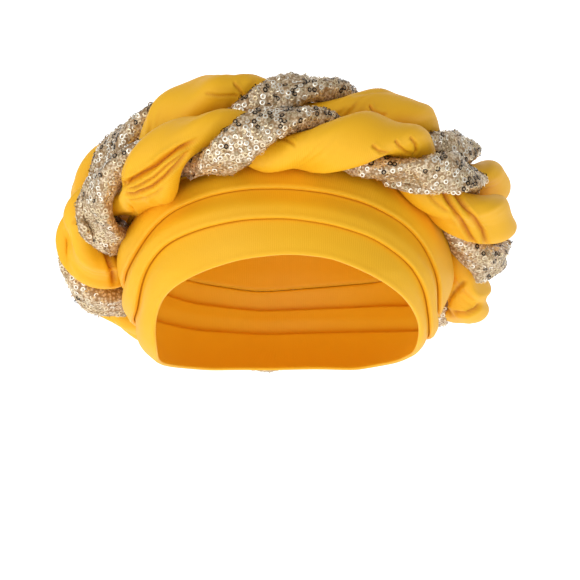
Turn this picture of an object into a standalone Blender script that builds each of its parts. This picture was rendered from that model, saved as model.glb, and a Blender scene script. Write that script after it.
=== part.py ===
"""Turban beanie: a pleated satin cap with a braid of padded tubes round it.

The braid is two twisted ropes side by side. Each rope is a satin tube and a
sequinned tube, laid round each other and closed into a tilted ring.
Azimuths are in degrees round the head: 0 at the forehead, positive to +X.
"""

import math

import bpy
import numpy as np

MM = 0.001

# Head form under the cap, the inside of its cloth
WIDEST_HEIGHT = 45 * MM
PEAK_HEIGHT = 133 * MM
HALF_WIDTH = 84 * MM
FRONT_DEPTH = 97 * MM
BACK_DEPTH = 98 * MM
PEAK_SHIFT = 14 * MM
DOME_POWER = 2.12
NECK_TAPER = 0.17
RIGHT_TAPER = 0.02
NECK_POWER = 3.0
SIDE_PINCH = 0.05
RIGHT_PINCH = 0.012
PINCH_DROP = 0.5

# Cloth walls, measured outward from the head form
CROWN_WALL = 2.0 * MM
BAND_WALL = 2.0 * MM
PLEAT_WALL = 2.2 * MM
LAYER_GAP = 0.45 * MM
OVERLAP = 6.0 * MM
COVER_SHARE = 0.3
TUCK = 3.0 * MM
CROWN_ROWS = 10

# Azimuths of the cap's columns on one side, closer where the rim drops past the eye
CAP_COLUMNS = (0, 8, 16, 24, 32, 39, 45, 50, 54, 57, 60, 63, 66, 69, 73, 78, 84,
               92, 101, 111, 122, 134, 146, 158, 169)

# Fold lines of the cap: heights in mm above the origin, one row for each azimuth
FOLD_LINES = {
    "columns": ("azimuth", "rim", "lower_fold", "upper_fold", "top_edge"),
    "rows": (
        (-169, -8, 7, 19, 34),
        (-140, -8, 9, 23, 40),
        (-110, -5.5, 15, 32, 54),
        (-90, -3, 19, 37, 66),
        (-80, -1, 21, 41, 72),
        (-70, 2.5, 24.5, 48, 78),
        (-62, 10, 34, 55.5, 83),
        (-55, 25.5, 47.5, 65, 88),
        (-45, 35.5, 58.5, 74.5, 93),
        (-30, 44.5, 65.3, 81.2, 99),
        (-15, 51, 69.5, 84.4, 102.5),
        (0, 53.3, 70.2, 84.8, 103.5),
        (15, 51.3, 67, 82.4, 102.5),
        (30, 43, 61, 77.2, 99),
        (45, 32, 48.8, 68, 93),
        (55, 23.5, 35, 56.5, 88),
        (62, 17, 26, 42.5, 83),
        (70, 8.5, 16.5, 31, 78),
        (80, 3.5, 12.5, 25, 72),
        (90, 1.5, 11.5, 23, 66),
        (110, -3, 10, 21, 54),
        (140, -7.5, 9, 20.5, 40),
    ),
}

# Centre line and thickness of each rope of the braid, in degrees and mm. Reach is
# the distance from the upright line through the ring's axis.
RING_AXIS = np.array((0.0, 4.0, 45.0)) * MM
ROPE_COLUMNS = ("azimuth", "reach", "height", "half_out", "half_across")
LOWER_ROPE = (
    (-150, 107.5, 11, 15.5, 15.5),
    (-135, 108.3, 22, 15.5, 15.5),
    (-120, 106.5, 32, 16, 15.5),
    (-106, 105.5, 42, 18, 15.2),
    (-90, 104.8, 57, 18, 15),
    (-75, 103.8, 70, 18, 15),
    (-55, 101, 88, 16.8, 15),
    (-30, 98, 107, 16, 15),
    (0, 96, 112, 15.9, 15),
    (30, 98, 107, 16, 15),
    (55, 101, 88, 16.8, 15),
    (75, 103, 70, 17.6, 15),
    (90, 104, 58, 17.4, 15),
    (106, 105.5, 44, 18, 15),
    (120, 105.8, 33.5, 16, 15),
    (135, 108.5, 24, 15.5, 15),
    (150, 107.8, 14, 15.5, 15.5),
    (180, 107.5, 3, 15.5, 15.5),
)
UPPER_ROPE = (
    (-150, 110, 44, 15.5, 16),
    (-129, 107, 62, 16, 15.5),
    (-105, 103, 81, 16.5, 15),
    (-90, 97, 91, 16.5, 15),
    (-79, 91.5, 98.5, 16.2, 15),
    (-67, 85, 107, 15.8, 15),
    (-53, 79, 117, 15.5, 15),
    (-37, 74.5, 125.5, 15.5, 15),
    (0, 69.5, 130, 15.5, 15),
    (37, 74.4, 124.2, 15.5, 15),
    (53, 81.3, 115.7, 15.5, 15),
    (67, 87.2, 107.3, 15.5, 15),
    (79, 92.3, 99.1, 15.5, 15),
    (90, 97.8, 90.8, 16, 15),
    (105, 103.5, 80, 16.5, 15),
    (129, 107.5, 64, 16, 15.3),
    (150, 111, 48, 15.5, 15.5),
    (180, 112, 37, 15.5, 16),
)

# Azimuths where the tubes of a rope face outward: satin and sequin by turns
LOWER_LOBES = (-116, -99, -80, -58, -32, -6, 23, 51, 75, 95, 116, 145, 172, 210)
UPPER_LOBES = (-92, -66, -35, 3, 41, 70, 93, 114, 135, 158, 181, 204, 226, 247)

# Section of one tube, as shares of the rope's half thickness
SATIN_SHARE = 0.14
SEAM_HALF_WIDTH = 0.80
TUBE_GAP = 0.5 * MM
ARC_POINTS = 6
ARC_START = 14.0
ROPE_SECTIONS = 91

FOLD_SOFTNESS = 4.0
ROPE_SOFTNESS = 6.0
TWIST_SOFTNESS = 6.0

COLLECTION = "turban_beanie"
CREASE_ANGLE = math.radians(40)
SATIN = ("golden_satin", (0.93, 0.46, 0.03), 0.55, 0.0)
SEQUIN = ("champagne_sequin", (0.62, 0.47, 0.33), 0.35, 0.6)


def rounded(values, softness):
    """Gaussian smoothing of values given at each degree round the head."""
    reach = int(4 * softness)
    kernel = np.exp(-0.5 * (np.arange(-reach, reach + 1) / softness) ** 2)
    padded = np.concatenate((values[-reach:], values, values[:reach]))
    return np.convolve(padded, kernel / kernel.sum(), "valid")


def column_at(columns, rows, name, azimuth, softness):
    """A column of a table at any azimuth, as a smooth closed curve."""
    table = np.array(rows, dtype=float)
    degrees = np.arange(-180.0, 180.0)
    values = np.interp(degrees, table[:, 0], table[:, columns.index(name)], period=360.0)
    return np.interp(azimuth, degrees, rounded(values, softness), period=360.0)


def fold_height(name, azimuth):
    lines = FOLD_LINES
    return MM * column_at(lines["columns"], lines["rows"], name, azimuth, FOLD_SOFTNESS)


def head_point(azimuth, height):
    """Point of the head form at an azimuth and a height."""
    turn = np.radians(azimuth)
    lift = np.clip((height - WIDEST_HEIGHT) / (PEAK_HEIGHT - WIDEST_HEIGHT), 0.0, 1.0)
    drop = np.clip((WIDEST_HEIGHT - height) / WIDEST_HEIGHT, 0.0, None)
    taper = (NECK_TAPER + RIGHT_TAPER * np.sin(turn)) * drop ** NECK_POWER
    girth = (1 - lift ** DOME_POWER) ** (1 / DOME_POWER) * (1 - taper)
    share = np.clip(drop / PINCH_DROP, 0.0, 1.0)
    pinch = (SIDE_PINCH + RIGHT_PINCH * np.sin(turn)) * np.sin(turn) ** 2
    width = HALF_WIDTH * (1 - pinch * share * share * (3 - 2 * share))
    depth = np.where(np.cos(turn) > 0, FRONT_DEPTH, BACK_DEPTH)
    return np.array((width * girth * np.sin(turn),
                     PEAK_SHIFT * lift - depth * girth * np.cos(turn), height))


def head_normal(azimuth, height):
    """Outward direction of the head form."""
    turn_step, rise_step = 0.5, 0.3 * MM
    sideways = head_point(azimuth + turn_step, height) - head_point(azimuth - turn_step, height)
    upward = head_point(azimuth, height + rise_step) - head_point(azimuth, height - rise_step)
    normal = np.cross(sideways, upward)
    return normal / np.linalg.norm(normal)


def rope_centre(rows, azimuth):
    turn = np.radians(azimuth)
    reach = MM * column_at(ROPE_COLUMNS, rows, "reach", azimuth, ROPE_SOFTNESS)
    height = MM * column_at(ROPE_COLUMNS, rows, "height", azimuth, ROPE_SOFTNESS)
    return np.stack((reach * np.sin(turn), RING_AXIS[1] - reach * np.cos(turn), height), -1)


def rope_frame(rows, azimuth):
    """Centre of a rope, with its directions outward and across, at each azimuth."""
    step = 0.25
    centre = rope_centre(rows, azimuth)
    along = rope_centre(rows, azimuth + step) - rope_centre(rows, azimuth - step)
    along /= np.linalg.norm(along, axis=-1, keepdims=True)
    outward = centre - RING_AXIS
    outward -= (outward * along).sum(-1, keepdims=True) * along
    outward /= np.linalg.norm(outward, axis=-1, keepdims=True)
    return centre, outward, np.cross(outward, along)


def half_turns(lobes, azimuth):
    """Half turns of twist at each azimuth: a whole number where a tube faces outward."""
    marks = np.array(lobes, dtype=float)
    count = len(marks)
    rate_at = np.arange(-180.0, 180.0)
    around = np.concatenate((marks - 360.0, marks, marks + 360.0))
    turned = np.interp(rate_at, around, np.arange(-count, 2 * count))
    steady = (rate_at - marks[0]) * count / 360.0
    swing = rounded(turned - steady, TWIST_SOFTNESS)
    return ((azimuth - marks[0]) * count / 360.0
            + np.interp(azimuth, rate_at, swing, period=360.0))


def principled(name, colour, roughness, metallic):
    material = bpy.data.materials.get(name) or bpy.data.materials.new(name)
    material.use_nodes = True
    material.diffuse_color = (*colour, 1.0)
    shader = material.node_tree.nodes["Principled BSDF"]
    shader.inputs["Base Color"].default_value = (*colour, 1.0)
    shader.inputs["Roughness"].default_value = roughness
    shader.inputs["Metallic"].default_value = metallic
    return material


def add_object(name, points, faces, finish, collection):
    mesh = bpy.data.meshes.new(name)
    mesh.from_pydata([tuple(point) for point in points], [], faces)
    mesh.shade_smooth()
    mesh.set_sharp_from_angle(angle=CREASE_ANGLE)
    mesh.materials.append(principled(f"{name}_{finish[0]}", *finish[1:]))
    piece = bpy.data.objects.new(name, mesh)
    collection.objects.link(piece)
    return piece


def thicken(piece, wall):
    """Give an open cloth surface its wall, outward."""
    solidify = piece.modifiers.new("cloth_wall", "SOLIDIFY")
    solidify.thickness = wall
    solidify.offset = 1.0
    solidify.use_even_offset = True


def cap_azimuths():
    right = list(CAP_COLUMNS)
    left = [-azimuth for azimuth in reversed(CAP_COLUMNS) if azimuth > 0]
    return left + right + [180]


def fold_cover(line, azimuth):
    """How far a strip runs up behind the folded edge above it."""
    above = {"lower_fold": "upper_fold", "upper_fold": "top_edge"}.get(line)
    if above is None:
        return 0.0
    return min(OVERLAP, COVER_SHARE * (fold_height(above, azimuth) - fold_height(line, azimuth)))


def strip_between_folds(name, lower_line, upper_line, wall, lifted, collection):
    """A closed strip of the cap from one fold line up to the next.

    A lifted strip lies over the top of the strip below it, then sinks to the head form.
    """
    azimuths = cap_azimuths()
    stand_off = lifted * (BAND_WALL + LAYER_GAP)
    points = []
    for azimuth in azimuths:
        bottom = fold_height(lower_line, azimuth)
        top = fold_height(upper_line, azimuth) + fold_cover(upper_line, azimuth)
        lap_end = bottom + fold_cover(lower_line, azimuth)
        rows = (
            (bottom, stand_off),
            (lap_end + LAYER_GAP, stand_off),
            (lap_end + TUCK, 0.0),
            (0.5 * (lap_end + TUCK + top), 0.0),
            (top, 0.0),
        )
        for height, out in rows:
            points.append(head_point(azimuth, height) + out * head_normal(azimuth, height))
    strip = add_object(name, points, ring_faces(len(azimuths), len(rows)), SATIN, collection)
    thicken(strip, wall)


def ring_faces(columns, rows):
    """Quads of a grid whose columns go round the head and close."""
    faces = []
    for column in range(columns):
        here, there = column * rows, (column + 1) % columns * rows
        for row in range(rows - 1):
            faces.append((here + row, there + row, there + row + 1, here + row + 1))
    return faces


def make_crown(collection):
    """The dome from under the top pleat to the peak."""
    azimuths = cap_azimuths()
    points = []
    for azimuth in azimuths:
        start = fold_height("top_edge", azimuth) + LAYER_GAP
        for row in range(CROWN_ROWS):
            climbed = math.sin(math.pi / 2 * row / CROWN_ROWS)
            points.append(head_point(azimuth, start + (PEAK_HEIGHT - start) * climbed))
    faces = ring_faces(len(azimuths), CROWN_ROWS)
    peak = len(points)
    points.append(np.array((0.0, PEAK_SHIFT, PEAK_HEIGHT)))
    last = CROWN_ROWS - 1
    for column in range(len(azimuths)):
        there = (column + 1) % len(azimuths)
        faces.append((column * CROWN_ROWS + last, there * CROWN_ROWS + last, peak))
    thicken(add_object("crown", points, faces, SATIN, collection), CROWN_WALL)


def tube_section(is_satin, half_thickness):
    """Corners of one tube's section: (side, outward) shares, and their order on the seam."""
    clear = 0.5 * TUBE_GAP / half_thickness
    seam = -SATIN_SHARE + (clear if is_satin else -clear)
    corners = [(side, seam) for side in (-SEAM_HALF_WIDTH, 0.0, SEAM_HALF_WIDTH)]
    order = [0, 1, 2]
    spread = np.linspace(ARC_START, 180.0 - ARC_START, ARC_POINTS)
    for angle in np.radians(spread if is_satin else -spread):
        corners.append((math.cos(angle), math.sin(angle)))
        order.append(order[-1] + (1 if is_satin else -1))
    return np.array(corners), order


def make_tube(name, rows, lobes, is_satin, finish, collection):
    """One of the two tubes of a rope, twisted with its mate and closed into a ring."""
    azimuths = -180.0 + 360.0 * np.arange(ROPE_SECTIONS) / ROPE_SECTIONS
    centre, outward, across = rope_frame(rows, azimuths)
    half_out = MM * column_at(ROPE_COLUMNS, rows, "half_out", azimuths, ROPE_SOFTNESS)
    half_across = MM * column_at(ROPE_COLUMNS, rows, "half_across", azimuths, ROPE_SOFTNESS)
    phase = math.pi * half_turns(lobes, azimuths)
    points = []
    for section in range(ROPE_SECTIONS):
        corners, order = tube_section(is_satin, min(half_out[section], half_across[section]))
        cosine, sine = math.cos(phase[section]), math.sin(phase[section])
        for side, out in corners:
            outward_share = out * cosine - side * sine
            across_share = out * sine + side * cosine
            points.append(centre[section] + outward_share * half_out[section] * outward[section]
                          + across_share * half_across[section] * across[section])
    add_object(name, points, tube_faces(len(order), order, is_satin), finish, collection)


def tube_faces(count, order, is_satin):
    """Triangles whose diagonals run the same way on both sides of the seam between tubes."""
    faces = []
    for section in range(ROPE_SECTIONS):
        here, there = section * count, (section + 1) % ROPE_SECTIONS * count
        for corner in range(count):
            after = (corner + 1) % count
            if order[corner] <= order[after]:
                pair = ((here + corner, here + after, there + after),
                        (here + corner, there + after, there + corner))
            else:
                pair = ((here + corner, here + after, there + corner),
                        (here + after, there + after, there + corner))
            faces.extend(pair if is_satin else [face[::-1] for face in pair])
    return faces


def clear_scene():
    for item in list(bpy.data.objects):
        bpy.data.objects.remove(item, do_unlink=True)


def main():
    clear_scene()
    collection = bpy.data.collections.new(COLLECTION)
    bpy.context.scene.collection.children.link(collection)
    strip_between_folds("hem_band", "rim", "lower_fold", BAND_WALL, False, collection)
    strip_between_folds("middle_pleat", "lower_fold", "upper_fold", PLEAT_WALL, True, collection)
    strip_between_folds("top_pleat", "upper_fold", "top_edge", PLEAT_WALL, True, collection)
    make_crown(collection)
    for rope, rows, lobes in (("lower", LOWER_ROPE, LOWER_LOBES), ("upper", UPPER_ROPE, UPPER_LOBES)):
        make_tube(f"{rope}_twist_satin", rows, lobes, True, SATIN, collection)
        make_tube(f"{rope}_twist_sequin", rows, lobes, False, SEQUIN, collection)


main()
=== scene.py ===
"""Turban beanie: the looks of a pleated satin cap with a sequinned braid.

The sidebar's Turban tab lists the pieces. Each operator makes one piece, or a
group of like pieces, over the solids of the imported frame: the strips of the
cap, its crown, the padded satin tubes of the braid, the sequinned tubes, their
sequins, and the studio. Lengths are in metres, and tables are in mm.
"""
import math

import bpy
import numpy as np
from bpy.props import FloatProperty, FloatVectorProperty, IntProperty, PointerProperty
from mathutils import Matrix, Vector


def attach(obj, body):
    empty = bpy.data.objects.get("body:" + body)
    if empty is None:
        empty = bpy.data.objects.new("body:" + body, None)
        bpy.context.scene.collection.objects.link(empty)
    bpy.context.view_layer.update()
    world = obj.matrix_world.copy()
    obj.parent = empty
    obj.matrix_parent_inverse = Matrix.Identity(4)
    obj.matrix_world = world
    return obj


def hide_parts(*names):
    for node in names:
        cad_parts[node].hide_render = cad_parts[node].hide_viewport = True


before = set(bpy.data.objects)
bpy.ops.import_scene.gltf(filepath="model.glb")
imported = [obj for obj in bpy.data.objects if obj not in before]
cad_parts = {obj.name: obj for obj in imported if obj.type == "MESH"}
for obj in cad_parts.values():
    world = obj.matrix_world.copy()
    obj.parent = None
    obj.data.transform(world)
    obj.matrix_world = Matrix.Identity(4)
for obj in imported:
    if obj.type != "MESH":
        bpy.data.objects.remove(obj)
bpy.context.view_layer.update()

bl_info = {
    "name": "Turban Beanie",
    "version": (1, 0, 0),
    "blender": (4, 5, 0),
    "location": "View3D > Sidebar > Turban",
    "description": "Pleated satin cap with a braid of satin and sequinned tubes",
    "category": "Object",
}

MM = 0.001

# Inner form of the cap, as in the part: a dome above its widest level, drawn in below it
WIDEST_HEIGHT = 45 * MM
PEAK_HEIGHT = 133 * MM
HALF_WIDTH = 84 * MM
FRONT_DEPTH = 97 * MM
BACK_DEPTH = 98 * MM
PEAK_SHIFT = 14 * MM
DOME_POWER = 2.12
# Share of the girth lost at height 0, and how much more of it on the right
RIM_TAPER = 0.17
RIGHT_TAPER = 0.02
RIM_POWER = 3.0
# Share of the width lost at the sides, how much more on the right, and how far down
SIDE_PINCH = 0.05
RIGHT_PINCH = 0.012
PINCH_DROP = 0.5

# How the layers of the cap lie over each other. A lifted strip clears the one below it,
# then slopes back to the form over at least the tuck
BAND_WALL = 2.0 * MM
PLEAT_WALL = 2.2 * MM
LAYER_GAP = 0.45 * MM
OVERLAP = 6.0 * MM
COVER_SHARE = 0.3
TUCK = 3.0 * MM

# Fold lines of the cap, one row for each azimuth
FOLD_COLUMNS = ("azimuth", "rim", "lower_fold", "upper_fold", "top_edge")
FOLD_LINES = (
    (-169, -8, 7, 19, 34), (-140, -8, 9, 23, 40), (-110, -5.5, 15, 32, 54),
    (-90, -3, 19, 37, 66), (-80, -1, 21, 41, 72), (-70, 2.5, 24.5, 48, 78),
    (-62, 10, 34, 55.5, 83), (-55, 25.5, 47.5, 65, 88), (-45, 35.5, 58.5, 74.5, 93),
    (-30, 44.5, 65.3, 81.2, 99), (-15, 51, 69.5, 84.4, 102.5), (0, 53.3, 70.2, 84.8, 103.5),
    (15, 51.3, 67, 82.4, 102.5), (30, 43, 61, 77.2, 99), (45, 32, 48.8, 68, 93),
    (55, 23.5, 35, 56.5, 88), (62, 17, 26, 42.5, 83), (70, 8.5, 16.5, 31, 78),
    (80, 3.5, 12.5, 25, 72), (90, 1.5, 11.5, 23, 66), (110, -3, 10, 21, 54),
    (140, -7.5, 9, 20.5, 40),
)
FOLD_SOFTNESS = 4.0

# Centre line and thickness of each rope of the braid
RING_AXIS = np.array((0.0, 4.0, 45.0)) * MM
ROPE_COLUMNS = ("azimuth", "reach", "height", "half_out", "half_across")
LOWER_ROPE = (
    (-150, 107.5, 11, 15.5, 15.5), (-135, 108.3, 22, 15.5, 15.5), (-120, 106.5, 32, 16, 15.5),
    (-106, 105.5, 42, 18, 15.2), (-90, 104.8, 57, 18, 15), (-75, 103.8, 70, 18, 15),
    (-55, 101, 88, 16.8, 15), (-30, 98, 107, 16, 15), (0, 96, 112, 15.9, 15),
    (30, 98, 107, 16, 15), (55, 101, 88, 16.8, 15), (75, 103, 70, 17.6, 15),
    (90, 104, 58, 17.4, 15), (106, 105.5, 44, 18, 15), (120, 105.8, 33.5, 16, 15),
    (135, 108.5, 24, 15.5, 15), (150, 107.8, 14, 15.5, 15.5), (180, 107.5, 3, 15.5, 15.5),
)
UPPER_ROPE = (
    (-150, 110, 44, 15.5, 16), (-129, 107, 62, 16, 15.5), (-105, 103, 81, 16.5, 15),
    (-90, 97, 91, 16.5, 15), (-79, 91.5, 98.5, 16.2, 15), (-67, 85, 107, 15.8, 15),
    (-53, 79, 117, 15.5, 15), (-37, 74.5, 125.5, 15.5, 15), (0, 69.5, 130, 15.5, 15),
    (37, 74.4, 124.2, 15.5, 15), (53, 81.3, 115.7, 15.5, 15), (67, 87.2, 107.3, 15.5, 15),
    (79, 92.3, 99.1, 15.5, 15), (90, 97.8, 90.8, 16, 15), (105, 103.5, 80, 16.5, 15),
    (129, 107.5, 64, 16, 15.3), (150, 111, 48, 15.5, 15.5), (180, 112, 37, 15.5, 16),
)
ROPE_SOFTNESS = 6.0
TWIST_SOFTNESS = 6.0

# Azimuths where the tubes of a rope face outward: satin and sequin by turns
LOWER_LOBES = (-116, -99, -80, -58, -32, -6, 23, 51, 75, 95, 116, 145, 172, 210)
UPPER_LOBES = (-92, -66, -35, 3, 41, 70, 93, 114, 135, 158, 181, 204, 226, 247)
ROPES = {"lower": (LOWER_ROPE, LOWER_LOBES), "upper": (UPPER_ROPE, UPPER_LOBES)}

# Soft section of each tube: its middle and half sizes, as shares of the rope's half thickness,
# how full it is, and the share of the way round at which it faces outward
SECTIONS = {
    "satin": {"middle": 0.43, "half_out": 0.57, "half_side": 0.93, "fullness": 2.25,
              "outer_side": 0.25},
    "sequin": {"middle": -0.57, "half_out": 0.42, "half_side": 0.80, "fullness": 2.1,
               "outer_side": 0.75},
}
SEQUIN_SWELLING = -0.04

# The camera stands where the photograph was taken. Creases, swells and shifts are placed
# on an upright plane at this distance from it
EYE = Vector((1.5, -1385.0, 35.5)) * MM
VIEW_DISTANCE = 1300 * MM
VIEW_WIDTH = 290 * MM

# Creases seen from the front: rope, points, depth and width. Points are (x, z) on the view
# plane, and all are in mm. A line that runs past the outline notches it
CREASES = (
    ("lower", ((-93, 87), (-84, 88), (-80, 89.3), (-74.5, 92.3), (-67, 97), (-61, 102),
               (-54.5, 106), (-47, 109.5), (-42, 112)), 3.4, 1.1),
    ("lower", ((-82, 86), (-74.5, 87.3), (-66.5, 92), (-60, 98), (-52, 104), (-47, 108)),
     1.3, 0.6),
    ("lower", ((-83, 83.5), (-76, 83.5), (-68, 87), (-61, 92.5), (-55, 98.5), (-50, 104),
               (-46, 108)), 2.0, 0.8),
    ("lower", ((-80, 80.5), (-73, 80.5), (-66, 83.5), (-60, 88.5)), 0.7, 0.6),
    ("upper", ((-42, 134), (-34, 132.5), (-28, 132.7), (-21, 132.3)), 0.9, 0.55),
    ("upper", ((-27, 139.5), (-24, 136), (-21, 132)), 1.1, 0.6),
    ("upper", ((41, 128.5), (43, 125), (47, 123.2), (51, 123)), 1.4, 0.6),
    ("lower", ((54, 111), (56.5, 107), (59, 104.8), (63, 103.3)), 1.5, 0.6),
    ("lower", ((61.5, 112.5), (64.5, 108), (64.5, 105), (63, 102.5)), 1.5, 0.6),
    ("lower", ((42, 108.5), (46, 105), (53, 103)), 1.2, 0.7),
    ("lower", ((-9, 113), (-1, 111.2), (3, 108.8), (5, 106)), 0.8, 0.8),
    ("lower", ((74, 93), (77, 88), (80, 81.5), (85, 73), (90, 65), (94, 58), (96, 52)), 2.7, 1.0),
    ("lower", ((78, 93), (81, 88), (87.5, 79), (93, 72), (98, 65), (99.5, 59), (100, 53)),
     2.5, 1.0),
    ("lower", ((67, 91), (70, 86), (73, 80.5), (78, 76), (83, 73)), 0.9, 0.9),
    ("lower", ((-108, 68), (-104, 71), (-98, 72.8), (-94, 72.5)), 0.8, 0.55),
    ("lower", ((-94, 60), (-91.3, 55.8), (-88.5, 49), (-87, 43), (-86.5, 36)), 2.8, 1.1),
    ("lower", ((90, 41), (86, 37), (81, 31), (78, 25), (77, 20)), 1.6, 0.8),
    ("lower", ((78, 27.5), (81.5, 24), (89.5, 23.5), (94.5, 26), (98, 30)), 2.2, 0.9),
    ("upper", ((-108, 104), (-104, 101)), 1.2, 1.0),
)

# Where a lobe is fuller or slacker than the plain twist: rope, tube, middle, radius, height
SWELLS = (
    ("upper", "satin", (-61, 132), 14, 2.4),
    ("upper", "satin", (-37, 141), 10, 3.4),
    ("lower", "satin", (-84, 70), 8, -1.0),
    ("lower", "satin", (-75, 69), 9, -6.0),
    ("lower", "satin", (-85, 88), 4, -3.0),
    ("lower", "satin", (-58, 84), 9, 2.5),
    ("lower", "satin", (-70, 83), 7, 2.2),
    ("lower", "satin", (-74, 99), 10, 1.2),
    ("lower", "satin", (-117, 58), 14, -7.0),
    ("upper", "satin", (-110, 92), 12, -0.8),
    ("lower", "sequin", (-101, 62), 10, -6.0),
    ("lower", "sequin", (-110, 74), 9, -4.0),
    ("lower", "sequin", (-108, 85), 8, -2.5),
    ("lower", "sequin", (-96, 25), 10, 3.0),
    ("lower", "satin", (-94, 18), 10, -5.0),
    ("lower", "sequin", (-47, 89), 9, -4.5),
    ("upper", "satin", (40, 138), 12, -3.0),
    ("upper", "satin", (62, 132), 8, 1.0),
    ("upper", "sequin", (84, 118), 9, -3.2),
    ("upper", "satin", (110, 91), 9, 5.0),
    ("upper", "satin", (50, 136), 10, -1.8),
    ("lower", "satin", (66, 118), 9, 1.6),
    ("lower", "sequin", (60, 83), 14, -5.0),
    ("lower", "sequin", (116, 56), 10, -5.0),
    ("lower", "sequin", (112, 40), 9, -1.5),
    ("lower", "satin", (84, 22), 12, 8.0),
    ("lower", "sequin", (77, 20), 14, -11.0),
    ("lower", "sequin", (103, 42), 8, 3.0),
    ("lower", "satin", (104, 70), 11, 1.2),
    ("lower", "satin", (99, 28), 8, 3.0),
)

# Where both tubes of a rope lie aside of the plain ring: rope, middle, radius, shift in x and z
SHIFTS = (
    ("lower", (105, 39), 10, (-8.0, -1.5)),
)

# Creases, swells and shifts fade out over this much depth before this far back
NEAR_PART_END = 110 * MM
NEAR_PART_FADE = 20 * MM
# Cosine between the surface and the eye at which a swell or a crease starts, and the rise in
# it up to the full depth
SWELL_FACING = (-0.5, 0.6)
CREASE_FACING = (0.0, 0.35)
# Shares of its length over which a crease deepens and fades
CREASE_START = 0.12
CREASE_END = 0.22
# Raised banks beside a crease: height, and place and width as multiples of the crease's width
BANK_HEIGHT = 0.28
BANK_PLACE = 2.1
BANK_WIDTH = 1.2
# How much painted shade a crease gets for each mm of its depth, and over how much of its width
CREASE_SHADE_STRENGTH = 0.5
CREASE_SHADE_WIDTH = 0.8


def linear_colour(hex_code):
    """Linear red, green and blue of an sRGB hex colour."""
    shares = [int(hex_code[place:place + 2], 16) / 255 for place in (1, 3, 5)]
    return [share / 12.92 if share <= 0.04045 else ((share + 0.055) / 1.055) ** 2.4
            for share in shares]


def smooth_step(share):
    """0 to 1 with a soft start and a soft end."""
    share = np.clip(share, 0.0, 1.0)
    return share * share * (3 - 2 * share)


def bell(distance, width):
    """1 at no distance, down to 0 on both sides."""
    return np.exp(-(distance / width) ** 2)


def rounded(values, softness):
    """Gaussian smoothing of values given at each degree all round."""
    reach = int(4 * softness)
    kernel = np.exp(-0.5 * (np.arange(-reach, reach + 1) / softness) ** 2)
    padded = np.concatenate((values[-reach:], values, values[:reach]))
    return np.convolve(padded, kernel / kernel.sum(), "valid")


def column_at(columns, rows, name, azimuth, softness):
    """A column of a table at any azimuth, as a smooth closed curve."""
    table = np.array(rows, dtype=float)
    degrees = np.arange(-180.0, 180.0)
    values = np.interp(degrees, table[:, 0], table[:, columns.index(name)], period=360.0)
    return np.interp(azimuth, degrees, rounded(values, softness), period=360.0)


def fold_height(name, azimuth):
    """Height of a fold line at any azimuth."""
    return MM * column_at(FOLD_COLUMNS, FOLD_LINES, name, azimuth, FOLD_SOFTNESS)


def fold_cover(line, azimuth):
    """How far a strip runs up behind the folded edge above it."""
    above = {"lower_fold": "upper_fold", "upper_fold": "top_edge"}.get(line)
    if above is None:
        return np.zeros_like(azimuth)
    return np.minimum(OVERLAP, COVER_SHARE * (fold_height(above, azimuth)
                                              - fold_height(line, azimuth)))


def cap_point(azimuth, height):
    """Points of the cap's inner form at azimuths and heights."""
    turn = np.radians(azimuth)
    lift = np.clip((height - WIDEST_HEIGHT) / (PEAK_HEIGHT - WIDEST_HEIGHT), 0.0, 1.0)
    drop = np.clip((WIDEST_HEIGHT - height) / WIDEST_HEIGHT, 0.0, None)
    taper = (RIM_TAPER + RIGHT_TAPER * np.sin(turn)) * drop ** RIM_POWER
    girth = (1 - lift ** DOME_POWER) ** (1 / DOME_POWER) * (1 - taper)
    pinch = (SIDE_PINCH + RIGHT_PINCH * np.sin(turn)) * np.sin(turn) ** 2
    width = HALF_WIDTH * (1 - pinch * smooth_step(drop / PINCH_DROP))
    depth = np.where(np.cos(turn) > 0, FRONT_DEPTH, BACK_DEPTH)
    return np.stack((width * girth * np.sin(turn),
                     PEAK_SHIFT * lift - depth * girth * np.cos(turn), height), -1)


def unit(vectors):
    """The same directions at length 1."""
    return vectors / np.linalg.norm(vectors, axis=-1, keepdims=True)


def cap_normal(azimuth, height):
    """Outward direction of the cap's inner form."""
    turn_step, rise_step = 0.5, 0.3 * MM
    sideways = cap_point(azimuth + turn_step, height) - cap_point(azimuth - turn_step, height)
    upward = cap_point(azimuth, height + rise_step) - cap_point(azimuth, height - rise_step)
    return unit(np.cross(sideways, upward))


def rope_centre(rows, azimuth):
    """Centre line of a rope at any azimuth."""
    turn = np.radians(azimuth)
    reach = MM * column_at(ROPE_COLUMNS, rows, "reach", azimuth, ROPE_SOFTNESS)
    height = MM * column_at(ROPE_COLUMNS, rows, "height", azimuth, ROPE_SOFTNESS)
    return np.stack((reach * np.sin(turn), RING_AXIS[1] - reach * np.cos(turn), height), -1)


def rope_frame(rows, azimuth):
    """Centre of a rope, with its directions outward and across, at each azimuth."""
    step = 0.25
    centre = rope_centre(rows, azimuth)
    along = unit(rope_centre(rows, azimuth + step) - rope_centre(rows, azimuth - step))
    outward = centre - RING_AXIS
    outward = unit(outward - (outward * along).sum(-1, keepdims=True) * along)
    return centre, outward, np.cross(outward, along)


def crowded(count, middle, crowding):
    """Shares 0 to 1 of a closed round, nearer to each other about the middle share."""
    share = np.linspace(0, 1, count, endpoint=False)
    return share - crowding * np.sin(2 * math.pi * (share - middle)) / (2 * math.pi)


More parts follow.
